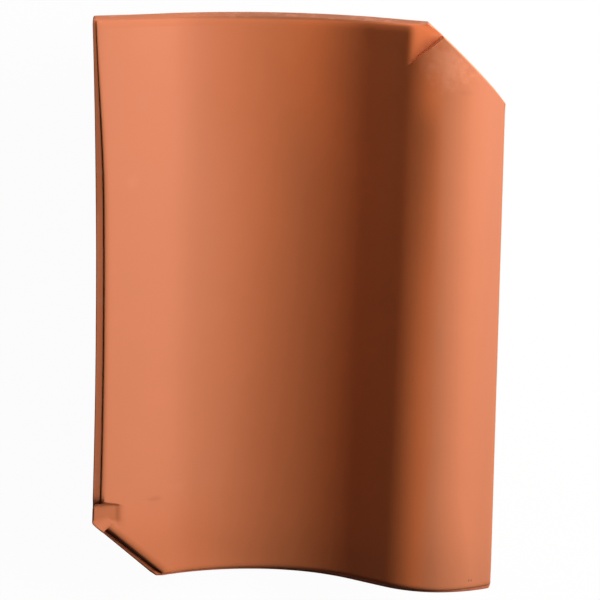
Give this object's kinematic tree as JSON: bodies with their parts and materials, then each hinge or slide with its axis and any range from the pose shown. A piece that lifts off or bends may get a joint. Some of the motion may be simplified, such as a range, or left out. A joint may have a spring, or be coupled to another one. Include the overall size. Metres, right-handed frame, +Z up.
{
  "type": "clay roof tile",
  "caption": "S-profile clay pantile with mitred corners and a hanging nib, a reusable roof covering unit.",
  "frame": {"origin": "on the floor under the middle of the tile, as it lies on its nib and foot", "axes": "+X from the pan to the roll, +Y from the foot to the head, +Z up"},
  "size_m": [0.241, 0.344, 0.0695],
  "materials": {
    "fired_clay": "matt fired clay"
  },
  "bodies": {
    "root": {"pantile": "fired_clay"}
  },
  "joints": []
}
